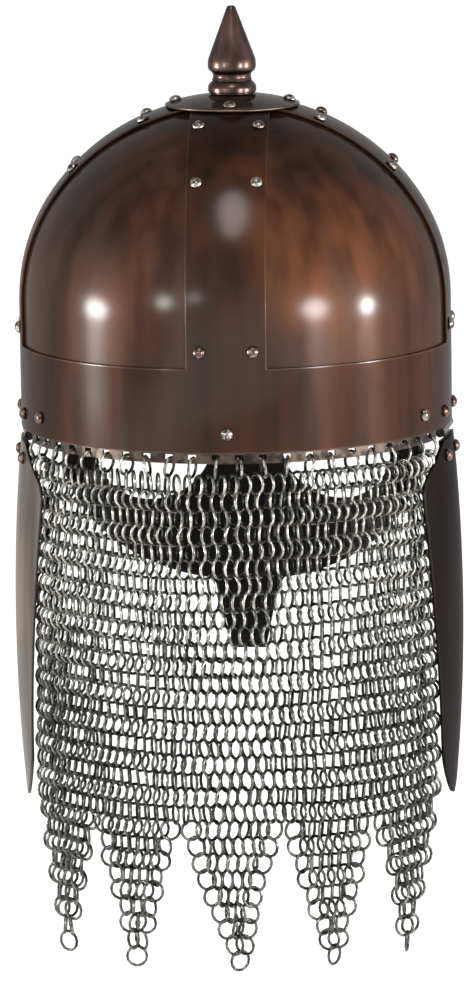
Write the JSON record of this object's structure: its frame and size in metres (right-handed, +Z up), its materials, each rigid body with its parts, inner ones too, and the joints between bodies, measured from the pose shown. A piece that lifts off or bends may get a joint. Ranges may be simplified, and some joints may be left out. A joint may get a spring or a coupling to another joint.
{
  "type": "viking helmet",
  "caption": "Riveted steel dome helmet with a spiked crown, spectacle guard, hinged cheek plates, hanging mail over the neck and a leather liner.",
  "frame": {"origin": "centre of the head opening, in the plane of the brow band's lower edge", "axes": "+Z up through the spike, the face looks along -Y, the wearer's left is +X"},
  "size_m": [0.2174, 0.2126, 0.4499],
  "materials": {
    "browned_steel": "browned and oiled steel, semi-gloss",
    "hinge_steel": "dark steel",
    "rivet_steel": "worn round-head steel rivets",
    "strip_steel": "worn browned steel",
    "ring_steel": "oiled dark steel wire",
    "mail": "linked rings of oiled dark steel wire",
    "liner_leather": "brown vegetable-tanned leather",
    "lace_cord": "leather lace"
  },
  "bodies": {
    "skull": {"brow_band": "browned_steel", "back_band": "browned_steel", "front_band": "browned_steel", "left_band": "browned_steel", "right_band": "browned_steel", "skull_panel_back_left": "browned_steel", "skull_panel_back_right": "browned_steel", "skull_panel_front_left": "browned_steel", "skull_panel_front_right": "browned_steel", "band_rivets": "rivet_steel", "crown_disc": "browned_steel", "crown_rivets": "rivet_steel", "finial": "browned_steel", "finial_washer": "hinge_steel", "finial_nut": "hinge_steel", "mail_hanger_strip": "strip_steel", "hanger_rivets": "rivet_steel", "mail_hanger_rings": "ring_steel", "mail_curtain": "mail", "spectacle_guard": "browned_steel", "guard_rivets": "rivet_steel", "liner_band": "liner_leather", "liner_crown": "liner_leather", "liner_lace": "lace_cord", "hinge_upper_leaf_left": "hinge_steel", "hinge_pin_left": "hinge_steel", "hinge_upper_rivets_left": "rivet_steel", "hinge_upper_leaf_right": "hinge_steel", "hinge_pin_right": "hinge_steel", "hinge_upper_rivets_right": "rivet_steel"},
    "cheek_left": {"cheek_plate_left": "browned_steel", "hinge_lower_leaf_left": "hinge_steel", "hinge_lower_rivets_left": "rivet_steel"},
    "cheek_right": {"cheek_plate_right": "browned_steel", "hinge_lower_leaf_right": "hinge_steel", "hinge_lower_rivets_right": "rivet_steel"},
    "tongue_1": {"mail_tongue_1": "mail"},
    "tongue_2": {"mail_tongue_2": "mail"},
    "tongue_3": {"mail_tongue_3": "mail"},
    "tongue_4": {"mail_tongue_4": "mail"},
    "tongue_5": {"mail_tongue_5": "mail"}
  },
  "joints": [
    {"name": "cheek_left_hinge", "type": "hinge", "parent": "skull", "child": "cheek_left", "pos_m": [0.10035, 0.01055, -0.0026], "axis": [0.1045, -0.9945, 0], "range_deg": [0, 95]},
    {"name": "cheek_right_hinge", "type": "hinge", "parent": "skull", "child": "cheek_right", "pos_m": [-0.10035, 0.01055, -0.0026], "axis": [0.1045, 0.9945, 0], "range_deg": [0, 95]},
    {"name": "tongue_1_swing", "type": "hinge", "parent": "skull", "child": "tongue_1", "pos_m": [-0.08199, 0.05813, -0.1807], "axis": [0.553, 0.8332, 0], "range_deg": [-40, 80]},
    {"name": "tongue_2_swing", "type": "hinge", "parent": "skull", "child": "tongue_2", "pos_m": [-0.04633, 0.08955, -0.1807], "axis": [0.8882, 0.4595, 0], "range_deg": [-40, 80]},
    {"name": "tongue_3_swing", "type": "hinge", "parent": "skull", "child": "tongue_3", "pos_m": [0, 0.10083, -0.1807], "axis": [1, 0, 0], "range_deg": [-40, 80]},
    {"name": "tongue_4_swing", "type": "hinge", "parent": "skull", "child": "tongue_4", "pos_m": [0.04633, 0.08955, -0.1807], "axis": [0.8882, -0.4595, 0], "range_deg": [-40, 80]},
    {"name": "tongue_5_swing", "type": "hinge", "parent": "skull", "child": "tongue_5", "pos_m": [0.08199, 0.05813, -0.1807], "axis": [0.553, -0.8332, 0], "range_deg": [-40, 80]}
  ]
}
